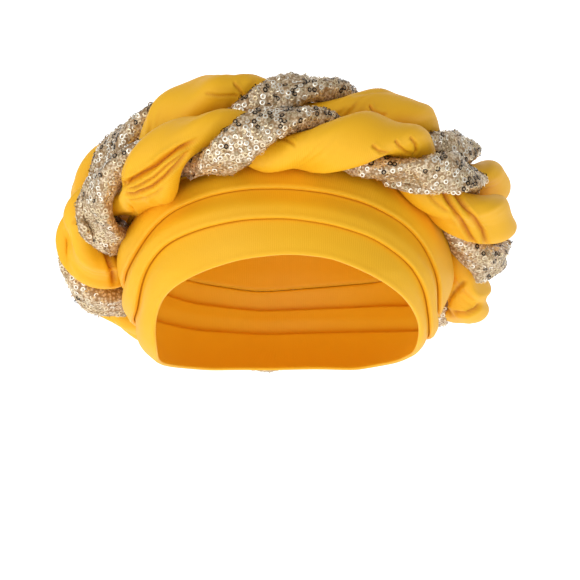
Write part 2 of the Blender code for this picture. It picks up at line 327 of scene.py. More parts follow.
def half_turns(lobes, azimuth):
    """Half turns of twist at each azimuth: a whole number where a tube faces outward."""
    marks = np.array(lobes, dtype=float)
    count = len(marks)
    rate_at = np.arange(-180.0, 180.0)
    around = np.concatenate((marks - 360.0, marks, marks + 360.0))
    turned = np.interp(rate_at, around, np.arange(-count, 2 * count))
    steady = (rate_at - marks[0]) * count / 360.0
    swing = rounded(turned - steady, TWIST_SOFTNESS)
    return ((azimuth - marks[0]) * count / 360.0
            + np.interp(azimuth, rate_at, swing, period=360.0))


def ring_normals(grid):
    """Normals of a surface whose columns and rows both close, pointing out of it."""
    along = np.roll(grid, -1, 0) - np.roll(grid, 1, 0)
    round_it = np.roll(grid, -1, 1) - np.roll(grid, 1, 1)
    normals = unit(np.cross(along, round_it))
    outward = grid - grid.mean(1, keepdims=True)
    return normals * np.sign((normals * outward).sum())


def wandering(seed, shape, waves, lowest, highest):
    """Soft random relief over a closed grid, about -1 to 1, from whole waves each way."""
    draw = np.random.default_rng(seed)
    around = np.linspace(0, 2 * math.pi, shape[0], endpoint=False)[:, None]
    across = np.linspace(0, 2 * math.pi, shape[1], endpoint=False)[None, :]
    relief = np.zeros(shape)
    for _ in range(waves):
        turns = draw.integers(lowest[0], highest[0] + 1), draw.integers(lowest[1], highest[1] + 1)
        relief += np.cos(turns[0] * around + draw.choice((-1, 1)) * turns[1] * across
                         + draw.uniform(0, 2 * math.pi))
    return relief / math.sqrt(waves)


def on_view_plane(points):
    """Where points show from the eye, as (x, z) on the view plane in mm."""
    away = points - np.array(EYE)
    scale = VIEW_DISTANCE / away[..., 1]
    return np.stack((EYE.x + away[..., 0] * scale, EYE.z + away[..., 2] * scale), -1) / MM


def near_part(grid):
    """1 over most of the ring, down to 0 at its back, which the photograph doesn't show."""
    return smooth_step((NEAR_PART_END - grid[..., 1]) / NEAR_PART_FADE)


def seen_from_front(grid, normals, edge, width):
    """1 where a near surface faces the eye, down to 0 past its outline and at the back."""
    towards_eye = unit(np.array(EYE) - grid)
    facing = smooth_step(((normals * towards_eye).sum(-1) - edge) / width)
    return facing * near_part(grid)


def distance_to_line(places, line):
    """Distance of each place to a line of points, and how far along the line it is, 0 to 1."""
    corners = np.array(line, dtype=float)
    lengths = np.linalg.norm(np.diff(corners, axis=0), axis=1)
    before = np.concatenate(((0.0,), np.cumsum(lengths)))
    nearest = np.full(places.shape[:-1], np.inf)
    share = np.zeros(places.shape[:-1])
    for start, end, length, passed in zip(corners[:-1], corners[1:], lengths, before):
        step = end - start
        part = np.clip(((places - start) @ step) / length ** 2, 0.0, 1.0)
        gap = np.linalg.norm(places - start - part[..., None] * step, axis=-1)
        share = np.where(gap < nearest, (passed + part * length) / before[-1], share)
        nearest = np.minimum(nearest, gap)
    return nearest, share


def add_node(tree, kind, settings=None, links=None):
    """Add a node with its settings (names or input sockets) and its incoming links."""
    node = tree.nodes.new(kind)
    for name, value in (settings or {}).items():
        if isinstance(name, str) and hasattr(node, name):
            setattr(node, name, value)
        else:
            node.inputs[name].default_value = value
    for name, source in (links or {}).items():
        tree.links.new(source, node.inputs[name])
    return node


def set_inputs(shader, values):
    """Constant values on a shader's own sockets."""
    for name, value in values.items():
        shader.inputs[name].default_value = value


def new_material(name):
    """An empty Principled material and its node tree."""
    material = bpy.data.materials.new(name)
    material.use_nodes = True
    tree = material.node_tree
    return material, tree, tree.nodes["Principled BSDF"]


# The wave pattern repeats each 2 pi / 20 of its coordinate, which is in mm here
RIB_SPACING_MM = 1.1
RIB_SCALE = 2 * math.pi / (20 * RIB_SPACING_MM)
MOTTLE_SIZE = 35.7 * MM
NAP_SIZE = 0.625 * MM
SMALL_SEQUIN_SIZE = 1.5 * MM


def stretch_satin(colours):
    """Golden polyester satin with elastane, worn with its matte side out.

    To the eye: an even deep yellow with broad soft highlights, a slight glow at grazing
    angles, painted orange shade in creases and under folds, and fine ribs that only show close to.
    """
    material, tree, shader = new_material("golden_stretch_satin")
    crease = add_node(tree, "ShaderNodeAttribute", {"attribute_name": "crease"})
    weave = add_node(tree, "ShaderNodeAttribute", {"attribute_name": "cloth_mm"})
    # The real ribs are about 0.4 mm apart. They are drawn 1.1 mm apart to show at all.
    ribs = add_node(tree, "ShaderNodeTexWave",
                    {"wave_type": "BANDS", "bands_direction": "X", "Scale": RIB_SCALE,
                     "Distortion": 1.2, "Detail": 2.0, "Detail Scale": 1.5},
                    {"Vector": weave.outputs["Vector"]})
    place = add_node(tree, "ShaderNodeTexCoord")
    # The dye varies slightly over patches a few centimetres across
    mottle = add_node(tree, "ShaderNodeTexNoise", {"Scale": 1 / MOTTLE_SIZE, "Detail": 3.0},
                      {"Vector": place.outputs["Object"]})
    tint = add_node(tree, "ShaderNodeMix",
                    {"data_type": "RGBA", 6: (*colours.satin_shade, 1.0),
                     7: (*colours.satin, 1.0)}, {0: mottle.outputs["Fac"]})
    # Painted shade: the crease attribute turns the satin orange in creases and under folds
    tint = add_node(tree, "ShaderNodeMix", {"data_type": "RGBA", 7: (*colours.satin_crease_shade, 1.0)},
                    {0: crease.outputs["Fac"], 6: tint.outputs[2]})
    # The nap is finer than 0.1 mm, and is drawn coarser to show at all
    nap = add_node(tree, "ShaderNodeTexNoise", {"Scale": 1 / NAP_SIZE, "Detail": 2.0},
                   {"Vector": place.outputs["Object"]})
    fine = add_node(tree, "ShaderNodeBump", {"Strength": 0.25, "Distance": 0.12 * MM},
                    {"Height": nap.outputs["Fac"]})
    bump = add_node(tree, "ShaderNodeBump", {"Strength": 0.35, "Distance": 0.1 * MM},
                    {"Height": ribs.outputs["Fac"], "Normal": fine.outputs["Normal"]})
    tree.links.new(tint.outputs[2], shader.inputs["Base Color"])
    tree.links.new(bump.outputs["Normal"], shader.inputs["Normal"])
    set_inputs(shader, {"Roughness": 0.55, "Specular IOR Level": 0.35, "Sheen Weight": 0.25,
                        "Sheen Roughness": 0.4, "Sheen Tint": (*colours.satin, 1.0)})
    return material


def sequin_cloth(colours):
    """Champagne tulle closely sewn with small sequins, seen between the larger rings.

    To the eye: a pale, grainy metal-flecked cloth with warm brown gaps.
    """
    material, tree, shader = new_material("champagne_sequin_tulle")
    place = add_node(tree, "ShaderNodeTexCoord")
    cells = add_node(tree, "ShaderNodeTexVoronoi", {"Scale": 1 / SMALL_SEQUIN_SIZE},
                     {"Vector": place.outputs["Object"]})
    ramp = add_node(tree, "ShaderNodeMapRange",
                    {"From Min": 0.25, "From Max": 0.65, "To Min": 0.0, "To Max": 1.0},
                    {"Value": cells.outputs["Distance"]})
    tint = add_node(tree, "ShaderNodeMix",
                    {"data_type": "RGBA", 6: (*colours.tulle, 1.0),
                     7: (*colours.tulle_shade, 1.0)}, {0: ramp.outputs["Result"]})
    bump = add_node(tree, "ShaderNodeBump", {"Strength": 0.6, "Distance": 0.4 * MM},
                    {"Height": cells.outputs["Distance"]})
    tree.links.new(tint.outputs[2], shader.inputs["Base Color"])
    tree.links.new(bump.outputs["Normal"], shader.inputs["Normal"])
    set_inputs(shader, {"Metallic": 0.2, "Roughness": 0.4})
    return material


def sequin_film(colours):
    """Metallised polyester film, punched into flat rings and left glossy.

    To the eye: champagne rings with some random tone, and painted white flashes and near-black
    reflections by which way each one's place faces.
    """
    material, tree, shader = new_material("champagne_sequin_film")
    # Painted reflections: the attribute holds random film tone, 0 for a painted dark reflection
    # and 1 for a painted flash
    tone_and_reflection = add_node(tree, "ShaderNodeAttribute", {"attribute_name": "tone_and_reflection"})
    dark = add_node(tree, "ShaderNodeMapRange", {"From Min": 0.0, "From Max": 0.5},
                    {"Value": tone_and_reflection.outputs["Fac"]})
    light = add_node(tree, "ShaderNodeMapRange", {"From Min": 0.5, "From Max": 1.0},
                     {"Value": tone_and_reflection.outputs["Fac"]})
    lower = add_node(tree, "ShaderNodeMix",
                     {"data_type": "RGBA", 6: (*colours.ring_dark_reflection, 1.0),
                      7: (*colours.ring, 1.0)}, {0: dark.outputs["Result"]})
    colour = add_node(tree, "ShaderNodeMix",
                      {"data_type": "RGBA", 7: (*colours.ring_flash_highlight, 1.0)},
                      {0: light.outputs["Result"], 6: lower.outputs[2]})
    tree.links.new(colour.outputs[2], shader.inputs["Base Color"])
    set_inputs(shader, {"Metallic": 0.6, "Roughness": 0.26})
    return material


def finish_of(name, maker):
    """A material of this file, made when it is first asked for."""
    return bpy.data.materials.get(name) or maker(bpy.context.scene.turban_colours)


def satin_finish():
    """The satin that all the plain pieces share."""
    return finish_of("golden_stretch_satin", stretch_satin)


def grid_object(name, grid, cloth, material, close_rows=True):
    """Object from a grid of points. Columns go round and close, and rows may close too.

    cloth holds the place of each column and row in the flat cloth in mm, with one more
    where they close. It is kept at each corner for the weave.
    """
    along, up_it = cloth
    columns, rows = grid.shape[:2]
    column, row = np.meshgrid(np.arange(columns), np.arange(rows if close_rows else rows - 1),
                              indexing="ij")
    steps = ((0, 0), (1, 0), (1, 1), (0, 1))
    corners = np.stack([(column + right) % columns * rows + (row + up) % rows
                        for right, up in steps], -1).reshape(-1, 4)
    places = np.stack([np.stack((along[column + right], up_it[row + up],
                                 np.zeros(column.shape)), -1)
                       for right, up in steps], -2).reshape(-1, 4, 3)
    points = grid.reshape(-1, 3)
    a, b, c = (points[corners[:, k]] for k in (0, 1, 2))
    if close_rows and (a * np.cross(b, c)).sum() < 0:
        corners, places = corners[:, ::-1], places[:, ::-1]
    mesh = bpy.data.meshes.new(name)
    mesh.from_pydata(points.tolist(), [], corners.tolist())
    weave = mesh.attributes.new("cloth_mm", "FLOAT_VECTOR", "CORNER")
    weave.data.foreach_set("vector", places.astype(np.float32).ravel())
    mesh.shade_smooth()
    mesh.materials.append(material)
    piece = bpy.data.objects.new(name, mesh)
    bpy.context.scene.collection.objects.link(piece)
    return piece


def even_cloth(grid, width, height):
    """Cloth places in mm for a grid that divides a flat cloth evenly."""
    columns, rows = grid.shape[:2]
    return (np.linspace(0, width / MM, columns + 1), np.linspace(0, height / MM, rows + 1))


def keep_painted_shade(piece, painted_shade):
    """Keep at each point how much painted crease shade it gets, for the satin's colour."""
    crease = piece.data.attributes.new("crease", "FLOAT", "POINT")
    crease.data.foreach_set("value", painted_shade.astype(np.float32).ravel())


def stand_for(piece, node):
    """The piece rides on the part and stands for one of its solids."""
    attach(piece, "root")
    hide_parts(node)


STRIPS = {
    "hem_band": {"lower": "rim", "upper": "lower_fold", "wall": BAND_WALL, "lifted": 0.0,
                 "seed": 8},
    "middle_pleat": {"lower": "lower_fold", "upper": "upper_fold", "wall": PLEAT_WALL,
                     "lifted": 1.0, "seed": 12},
    "top_pleat": {"lower": "upper_fold", "upper": "top_edge", "wall": PLEAT_WALL, "lifted": 1.0,
                  "seed": 9},
}
STRIP_FLAT = {"hem_band": (0.56, 0.031), "middle_pleat": (0.56, 0.026),
              "top_pleat": (0.56, 0.029)}
STRIP_COLUMNS = 540
STRIP_ROWS = 44
HIDDEN_ROWS = 14
EDGE_ROWS = 11
# Rows lie closer near the folded edge, and the edge is squarer than a round one
ROW_POWER = 1.25
EDGE_POWER = 0.65
# A strip bulges about the fullest puff over so many degrees, fullest a little below its middle
PUFF_SPREAD = 24.0
PUFF_LEAN = 0.85
PUFF_POWER = 1.5
SIDE_LIP_LOSS = 0.4
# From here back, in degrees, the bulge falls to a half
BACK_START = 95
BACK_FADE = 40
BACK_PUFF_LOSS = 0.5
WAVER_WAVES = (8, (2, 0), (9, 0))
WAVER_FADE = 0.7
# Width and depth of the painted shade line under a fold, and what tells the outer face from the
# inner
FOLD_SHADE_WIDTH = 0.45 * MM
FOLD_SHADE_STRENGTH = 0.9
LEAST_WALL = 0.5 * MM


def strip_grid(name, cap):
    """Closed section of one strip all round: up its outside, down its inside, round its edge.

    Also how much painted shade each point gets under the next fold, 0 to 1.
    """
    strip = STRIPS[name]
    azimuth = np.linspace(-180, 180, STRIP_COLUMNS, endpoint=False)[:, None]
    bottom = fold_height(strip["lower"], azimuth)
    visible_top = fold_height(strip["upper"], azimuth)
    top = visible_top + fold_cover(strip["upper"], azimuth)
    lap_end = bottom + fold_cover(strip["lower"], azimuth) + LAYER_GAP
    slope_end = np.maximum(visible_top, lap_end + TUCK)
    stand_off = strip["lifted"] * (BAND_WALL + LAYER_GAP)
    side = bell(np.abs(azimuth) - cap.puff_azimuth, PUFF_SPREAD)
    back = smooth_step((np.abs(azimuth) - BACK_START) / BACK_FADE)
    side_puff = np.where(azimuth < 0, cap.left_puff, cap.right_puff)
    puff = cap.front_puff + (side_puff - cap.front_puff) * side
    lip = cap.lip_bulge * (1 - SIDE_LIP_LOSS * side)

    def inside(height):
        return stand_off * (1 - smooth_step((height - lap_end) / (slope_end - lap_end)))

    def outside(height):
        rise = height - bottom
        share = np.clip(rise / (visible_top - bottom), 0.0, 1.0)
        swell = (puff * np.sin(math.pi * share ** PUFF_LEAN) ** PUFF_POWER
                 * (1 - BACK_PUFF_LOSS * back))
        roll = lip * bell(rise - cap.lip_height, cap.lip_height)
        return inside(height) + strip["wall"] + swell + roll

    edge_radius = 0.5 * (outside(bottom) - inside(bottom))
    climb = np.linspace(0, 1, STRIP_ROWS)[None, :] ** ROW_POWER
    out_height = bottom + edge_radius + (top - bottom - edge_radius) * climb
    fall = np.linspace(1, 0, HIDDEN_ROWS)[None, :]
    in_height = bottom + edge_radius + (top - bottom - edge_radius) * fall
    bend = np.linspace(0, math.pi, EDGE_ROWS + 2)[None, 1:-1]
    edge_height = bottom + edge_radius * (1 - np.sin(bend) ** EDGE_POWER)
    edge_middle = inside(bottom) + edge_radius
    heights = np.concatenate((out_height, in_height, edge_height), 1)
    offsets = np.concatenate((outside(out_height), inside(in_height),
                              edge_middle - edge_radius * np.sign(np.cos(bend))
                              * np.abs(np.cos(bend)) ** EDGE_POWER), 1)
    azimuths = np.broadcast_to(azimuth, heights.shape)
    # A slow waver keeps the folded edges from looking machined
    waver = cap.waver * wandering(strip["seed"], (STRIP_COLUMNS, 1), *WAVER_WAVES)
    climbed = smooth_step((heights - bottom) / (top - bottom))
    heights = heights + waver * (1 - WAVER_FADE * climbed)
    grid = cap_point(azimuths, heights) + offsets[..., None] * cap_normal(azimuths, heights)
    # Painted shade: the cloth is coloured deep orange in the narrow valley under the next fold
    fold_shade = FOLD_SHADE_STRENGTH * bell(heights - visible_top - FOLD_SHADE_WIDTH, FOLD_SHADE_WIDTH)
    return grid, np.where(offsets > inside(heights) + LEAST_WALL, fold_shade, 0.0)


CROWN_COLUMNS = 240
CROWN_ROWS = 60
CROWN_WALL = 2.0 * MM
CROWN_FLAT = (0.225, 0.225)
# How far the crown laps over the top pleat, and the degrees over which the lap ends at the sides
CROWN_LAP = 3.0 * MM
LAP_END = 105
LAP_FADE = 30
SEAM_GAP = 0.3 * MM
PEAK_MARGIN = 1 * MM
PEAK_WELD = 0.01 * MM
# Slight gathers, which start part of the way up and end short of the peak
GATHER_RISE = 0.5 * MM
GATHER_COUNT = 11
GATHER_SWAY = 2.0
GATHER_START = 0.3
GATHER_FADE = 0.5
PEAK_FADE = 0.05


def crown_grid():
    """Inner face of the crown, from where it laps over the top pleat up to the peak."""
    azimuth = np.linspace(-180, 180, CROWN_COLUMNS, endpoint=False)[:, None]
    seam = fold_height("top_edge", azimuth)
    # The lap ends at the sides: at the back the braid lies right against the seam
    lap = 1 - smooth_step((np.abs(azimuth) - LAP_END) / LAP_FADE)
    start = seam - CROWN_LAP * lap + SEAM_GAP * (1 - lap)
    climbed = np.sin(np.linspace(0, math.pi / 2, CROWN_ROWS))[None, :]
    height = start + (PEAK_HEIGHT - start) * climbed
    azimuths = np.broadcast_to(azimuth, height.shape)
    turn = np.radians(azimuths)
    gathers = GATHER_RISE * np.sin(turn * GATHER_COUNT + GATHER_SWAY * np.sin(turn * 2))
    fade = (smooth_step((climbed - GATHER_START) / GATHER_FADE)
            * smooth_step((1 - climbed) / PEAK_FADE))
    lapped = (PLEAT_WALL + LAYER_GAP) * lap * (1 - smooth_step((height - seam)
                                                               / (2 * CROWN_LAP)))
    # At the very peak the form has no outward direction, so a place just below lends its own
    below_peak = np.minimum(height, PEAK_HEIGHT - PEAK_MARGIN)
    points = cap_point(azimuths, height) + lapped[..., None] * cap_normal(azimuths, below_peak)
    return points + (gathers * fade)[..., None] * np.array((0.0, 0.0, 1.0))


SATIN_SECTIONS = 960
SATIN_POINTS = 92
SEQUIN_SECTIONS = 520
SEQUIN_POINTS = 40
SATIN_FLAT = (0.76, 0.084)
SEQUIN_FLAT = (0.76, 0.070)
# Sections lie closer together at the front, and their points on the side that faces outward
FRONT_CROWDING = 0.5
OUTER_CROWDING = 0.35
# Relief: how many waves, then the fewest and the most of them along and round a tube
SLACK_WAVES = (14, (6, 0), (22, 2))
GATHER_WAVES = (10, (6, 5), (30, 10))
SEQUIN_WAVES = (16, (12, 0), (70, 5))
SEQUIN_RELIEF = 0.35 * MM
DIVE_POWER = 6
SLACK_SEEDS = {"lower": 111, "upper": 120}
GATHER_SEEDS = {"lower": 119, "upper": 128}
SEQUIN_SEED = 28


def tube_grid(rope, kind, sections, points, braid):
    """Points of one twisted tube of the braid: sections along it, points round each."""
    rows, lobes = ROPES[rope]
    section = SECTIONS[kind]
    azimuth = -180 + 360 * crowded(sections, 0.5, FRONT_CROWDING)
    centre, outward, across = rope_frame(rows, azimuth)
    half_out = MM * column_at(ROPE_COLUMNS, rows, "half_out", azimuth, ROPE_SOFTNESS)
    half_across = MM * column_at(ROPE_COLUMNS, rows, "half_across", azimuth, ROPE_SOFTNESS)
    phase = math.pi * half_turns(lobes, azimuth)[:, None]
    angle = 2 * math.pi * crowded(points, section["outer_side"], OUTER_CROWDING)[None, :]
    power = 2 / section["fullness"]
    side = section["half_side"] * np.sign(np.cos(angle)) * np.abs(np.cos(angle)) ** power
    out = section["half_out"] * np.sign(np.sin(angle)) * np.abs(np.sin(angle)) ** power
    outer = np.clip(out * np.sign(section["middle"]) / section["half_out"], 0.0, 1.0)
    swelling = braid.swelling if kind == "satin" else SEQUIN_SWELLING
    out = section["middle"] + out * (1 + swelling * np.cos(2 * phase) * outer)
    outward_share = out * np.cos(phase) - side * np.sin(phase)
    across_share = out * np.sin(phase) + side * np.cos(phase)
    grid = (centre[:, None] + (outward_share * half_out[:, None])[..., None] * outward[:, None]
            + (across_share * half_across[:, None])[..., None] * across[:, None])
    normals = ring_normals(grid)
    seen = seen_from_front(grid, normals, *SWELL_FACING)
    places = on_view_plane(grid)
    for tube, cloth, middle, radius, height in SWELLS:
        if (tube, cloth) == (rope, kind):
            near = bell(np.linalg.norm(places - middle, axis=-1), radius)
            grid = grid + (height * MM * seen * near)[..., None] * normals
    front = near_part(grid)
    for tube, middle, radius, shift in SHIFTS:
        if tube == rope:
            near = front * bell(np.linalg.norm(places - middle, axis=-1), radius)
            grid = grid + near[..., None] * MM * np.array((shift[0], 0.0, shift[1]))
    return grid, phase


def tube_cloth(length, girth, sections, points, kind):
    """Cloth places in mm for the uneven columns and rows of a tube's grid."""
    along = crowded(sections, 0.5, FRONT_CROWDING)
    around = crowded(points, SECTIONS[kind]["outer_side"], OUTER_CROWDING)
    return tuple(size / MM * np.append(shares, shares[0] + 1)
                 for size, shares in ((length, along), (girth, around)))


def press_creases(grid, normals, rope):
    """Depth of the creases that show from the front, and the painted shade laid in them, 0 to 1.
    """
    facing = seen_from_front(grid, normals, *CREASE_FACING)
    places = on_view_plane(grid)
    depth = np.zeros(grid.shape[:2])
    painted_shade = np.zeros(grid.shape[:2])
    for tube, line, deep, wide in CREASES:
        if tube != rope:
            continue
        gap, share = distance_to_line(places, line)
        fade = smooth_step(share / CREASE_START) * smooth_step((1 - share) / CREASE_END)
        bank = BANK_HEIGHT * bell(gap - BANK_PLACE * wide, BANK_WIDTH * wide)
        depth += deep * MM * fade * facing * (bell(gap, wide) - bank)
        painted_shade += min(1.0, CREASE_SHADE_STRENGTH * deep) * fade * facing * bell(gap, CREASE_SHADE_WIDTH * wide)
    return depth, np.clip(painted_shade, 0, 1)


def satin_tube(rope, braid):
    """Points of a rope's satin tube, and the painted shade in its creases at each point."""
    grid, phase = tube_grid(rope, "satin", SATIN_SECTIONS, SATIN_POINTS, braid)
    normals = ring_normals(grid)
    relief = braid.slackness * wandering(SLACK_SEEDS[rope], grid.shape[:2], *SLACK_WAVES)
    # Gathers run along the tube where it dives under its mate
    dive = np.abs(np.sin(phase)) ** DIVE_POWER
    pleats = wandering(GATHER_SEEDS[rope], grid.shape[:2], *GATHER_WAVES)
    relief = relief + braid.gather_depth * dive * pleats
    depth, painted_shade = press_creases(grid, normals, rope)
    return grid + (relief - depth)[..., None] * normals, painted_shade


def sequin_tube(rope, braid):
    """Points of a rope's sequinned tube."""
    grid, _ = tube_grid(rope, "sequin", SEQUIN_SECTIONS, SEQUIN_POINTS, braid)
    normals = ring_normals(grid)
    relief = SEQUIN_RELIEF * wandering(SEQUIN_SEED, grid.shape[:2], *SEQUIN_WAVES)
    return grid + relief[..., None] * normals


RING_SIDES = 12
RING_SIZES = (0.88, 1.05)
PLACE_SEED = 36
TILT_SEED = 42
PATCH_SEED = 46
# No ring is laid where the tube turns its back on the outside by more than this cosine
HIDDEN_RING = -0.45
# Directions in which rings get a painted dark reflection or a painted flash, with the cosines
# where that starts and the rise in it up to the full chance
DARK_SIDES = np.array(((-0.41, -0.21, 0.89), (0.80, -0.28, 0.53)))
DARK_FACING = (0.2, 0.6)
DARK_OUTWARD = 0.5
FLASH_SIDE = np.array((-0.15, -0.95, 0.28))
FLASH_FACING = (0.4, 0.4)
# Chance that a ring gets a painted dark reflection or a painted flash: anywhere, and more in its
# patches
DARK_CHANCES = (0.06, 0.72)
FLASH_CHANCES = (0.10, 0.60)
PATCH_WAVES = (18, (14, 0), (60, 4))
PATCH_CONTRAST = 0.8
TONE_SPREAD = 0.12
PATCH_TONE = 0.06


def scatter(grid, count, spacing, seed):
    """Places spread over a closed grid, none nearer than spacing, with their normals."""
    draw = np.random.default_rng(seed)
    normals = ring_normals(grid)
    edge = np.roll(grid, -1, 0) - grid
    rise = np.roll(grid, -1, 1) - grid
    area = np.linalg.norm(np.cross(edge, rise), axis=-1)
    columns, rows = grid.shape[:2]
    chosen = draw.choice(columns * rows, count, p=(area / area.sum()).ravel())
    column, row = chosen // rows, chosen % rows
    slide = draw.random((count, 2, 1))
    spots = (grid[column, row] + slide[:, 0] * edge[column, row] + slide[:, 1] * rise[column, row])
    cells, kept = {}, []
    for number, spot in enumerate(spots):
        cell = tuple((spot // spacing).astype(int))
        near = (other for x in (-1, 0, 1) for y in (-1, 0, 1) for z in (-1, 0, 1)
                for other in cells.get((cell[0] + x, cell[1] + y, cell[2] + z), ()))
        if all(((spots[other] - spot) ** 2).sum() > spacing ** 2 for other in near):
            cells.setdefault(cell, []).append(number)
            kept.append(number)
    return spots[kept], normals[column[kept], row[kept]], column[kept], row[kept]


def ring_points(spots, normals, sequins, draw):
    """Corners of each ring's outer edge, then of its hole, tilted at random off the cloth."""
    count = len(spots)
    tilt = draw.normal(0, math.tan(sequins.tilt), (count, 3))
    facing = unit(normals + tilt)
    first = unit(np.cross(facing, unit(draw.normal(0, 1, (count, 3)))))
    second = np.cross(facing, first)
    turn = np.linspace(0, 2 * math.pi, RING_SIDES, endpoint=False)
    arm = (np.cos(turn)[None, :, None] * first[:, None]
           + np.sin(turn)[None, :, None] * second[:, None])
    size = draw.uniform(*RING_SIZES, (count, 1, 1))
    middle = (spots + normals * sequins.lift)[:, None]
    outer = middle + 0.5 * sequins.diameter * size * arm
    inner = (middle + 0.5 * sequins.hole * size * arm
             + facing[:, None] * sequins.cupping * sequins.diameter)
    return np.concatenate((outer, inner), 1).reshape(-1, 3)


def ring_tones_and_reflections(normals, outward, patch, draw):
    """Tone of each ring: 0 is a painted dark reflection, 0.5 is plain film and 1 is a painted
    flash.

    Patches on the upper slopes get painted reflections of the dark above; patches facing forward
    get painted flashes.
    """
    count = len(normals)
    bunched = smooth_step(0.5 + PATCH_CONTRAST * patch)
    mirrored = smooth_step(((normals @ DARK_SIDES.T).max(-1) - DARK_FACING[0]) / DARK_FACING[1])
    dark = DARK_CHANCES[0] + DARK_CHANCES[1] * bunched * mirrored
    dark *= smooth_step(outward / DARK_OUTWARD)
    forward = smooth_step((normals @ FLASH_SIDE - FLASH_FACING[0]) / FLASH_FACING[1])
    flash = FLASH_CHANCES[0] + FLASH_CHANCES[1] * (1 - bunched) * forward
    tones_and_reflections = 0.5 + TONE_SPREAD * draw.normal(0, 1, count) + PATCH_TONE * patch
    tones_and_reflections = np.where(draw.random(count) < dark, 0.0, tones_and_reflections)
    tones_and_reflections = np.where(draw.random(count) < flash, 1.0, tones_and_reflections)
    return np.clip(tones_and_reflections, 0, 1)


def ring_sequins(rope, grid, sequins):
    """One mesh of flat rings laid over a sequinned tube."""
    spots, normals, column, row = scatter(grid, sequins.tries, sequins.spacing, PLACE_SEED)
    outward = (normals * unit(spots - RING_AXIS)).sum(-1)
    shows = outward > HIDDEN_RING
    spots, normals, column, row, outward = (part[shows] for part in
                                            (spots, normals, column, row, outward))
    draw = np.random.default_rng(TILT_SEED)
    points = ring_points(spots, normals, sequins, draw)
    base = np.arange(len(spots))[:, None] * 2 * RING_SIDES
    here, there = np.arange(RING_SIDES), (np.arange(RING_SIDES) + 1) % RING_SIDES
    quads = np.stack((base + here, base + there, base + there + RING_SIDES,
                      base + here + RING_SIDES), -1).reshape(-1, 4)
    mesh = bpy.data.meshes.new(f"{rope}_twist_rings")
    mesh.from_pydata(points.tolist(), [], quads.tolist())
    patch = wandering(PATCH_SEED, grid.shape[:2], *PATCH_WAVES)[column, row]
    # Each ring gets a random tone, or a painted dark reflection or a painted flash
    tones_and_reflections = ring_tones_and_reflections(normals, outward, patch, draw)
    tone_and_reflection = mesh.attributes.new("tone_and_reflection", "FLOAT", "POINT")
    tone_and_reflection.data.foreach_set("value", np.repeat(tones_and_reflections, 2 * RING_SIDES).astype(np.float32))
    mesh.shade_flat()
    return mesh


LIGHTS_AIM = Vector((0, 0, 60)) * MM


def make_camera(scene):
    """The camera, level and with the photograph's field of view."""
    lens = bpy.data.cameras.new("photo_camera")
    lens.lens = lens.sensor_width * VIEW_DISTANCE / VIEW_WIDTH
    camera = bpy.data.objects.new("photo_camera", lens)
    camera.location = EYE
    camera.rotation_euler = (math.pi / 2, 0, 0)
    scene.collection.objects.link(camera)
    scene.camera = camera


def soft_light(name, place, size, power):
    """A square soft light that faces the cap."""
    light = bpy.data.lights.new(name, "AREA")
    light.size = size
    light.energy = power
    lamp = bpy.data.objects.new(name, light)
    lamp.location = place
    aim = LIGHTS_AIM - Vector(place)
    lamp.rotation_euler = aim.to_track_quat("-Z", "Y").to_euler()
    bpy.context.scene.collection.objects.link(lamp)


def make_room(scene, studio):
    """A pale floor that curves up into a backdrop, under an even white sky."""
    half_width, front, back, rise, radius = 2.6, -2.2, 1.3, 2.4, 0.6
    bend = np.linspace(0, math.pi / 2, 17)
    line = [(front, 0.0)] + [(back - radius + radius * math.sin(a), radius * (1 - math.cos(a)))
                             for a in bend] + [(back, rise)]
    points = [(x, y, studio.floor_height + z) for y, z in line for x in (-half_width, half_width)]
    faces = [(2 * k, 2 * k + 1, 2 * k + 3, 2 * k + 2) for k in range(len(line) - 1)]
    mesh = bpy.data.meshes.new("studio_floor")
    mesh.from_pydata(points, [], faces)
    mesh.shade_smooth()
    floor = bpy.data.objects.new("studio_floor", mesh)
    scene.collection.objects.link(floor)
    material, _, shader = new_material("white_paper_roll")
    set_inputs(shader, {"Base Color": (0.9, 0.9, 0.9, 1.0), "Roughness": 0.9,
                        "Emission Color": (1.0, 1.0, 1.0, 1.0),
                        "Emission Strength": studio.backdrop_glow})
    mesh.materials.append(material)
    world = bpy.data.worlds.new("studio_world")
    world.use_nodes = True
    set_inputs(world.node_tree.nodes["Background"],
               {"Color": (1.0, 1.0, 1.0, 1.0), "Strength": studio.world_strength})
    scene.world = world
    scene.view_settings.view_transform = "Standard"


class TurbanCap(bpy.types.PropertyGroup):
    """Sizes of the cap's strips."""
    lip_height: FloatProperty(name="Lip height", default=1.3 * MM, unit="LENGTH",
                              description="Height of the soft roll along each folded edge")
    lip_bulge: FloatProperty(name="Lip bulge", default=0.22 * MM, unit="LENGTH",
                             description="How far the roll stands proud of its strip")
    front_puff: FloatProperty(name="Front puff", default=0.4 * MM, unit="LENGTH",
                              description="How far a strip bulges between folds at the front")
    left_puff: FloatProperty(name="Left puff", default=3.0 * MM, unit="LENGTH",
                             description="How far a strip bulges at the side on the left")
    right_puff: FloatProperty(name="Right puff", default=0.8 * MM, unit="LENGTH",
                              description="How far a strip bulges at the side on the right")
    puff_azimuth: FloatProperty(name="Puff place", default=72.0,
                                description="Degrees round from the front to the fullest puff")
    waver: FloatProperty(name="Waver", default=0.15 * MM, unit="LENGTH",
                         description="How far the folded edges wander from a smooth curve")


class TurbanBraid(bpy.types.PropertyGroup):
    """Softness of the braid's padded tubes."""
    swelling: FloatProperty(name="Swelling", default=0.07, subtype="FACTOR",
                            description="How much a satin tube swells where it faces outward")
    slackness: FloatProperty(name="Slackness", default=0.22 * MM, unit="LENGTH",
                             description="Depth of the slow dents over a satin tube")
    gather_depth: FloatProperty(name="Gather depth", default=0.22 * MM, unit="LENGTH",
                                description="Depth of the gathers where a tube dives under")


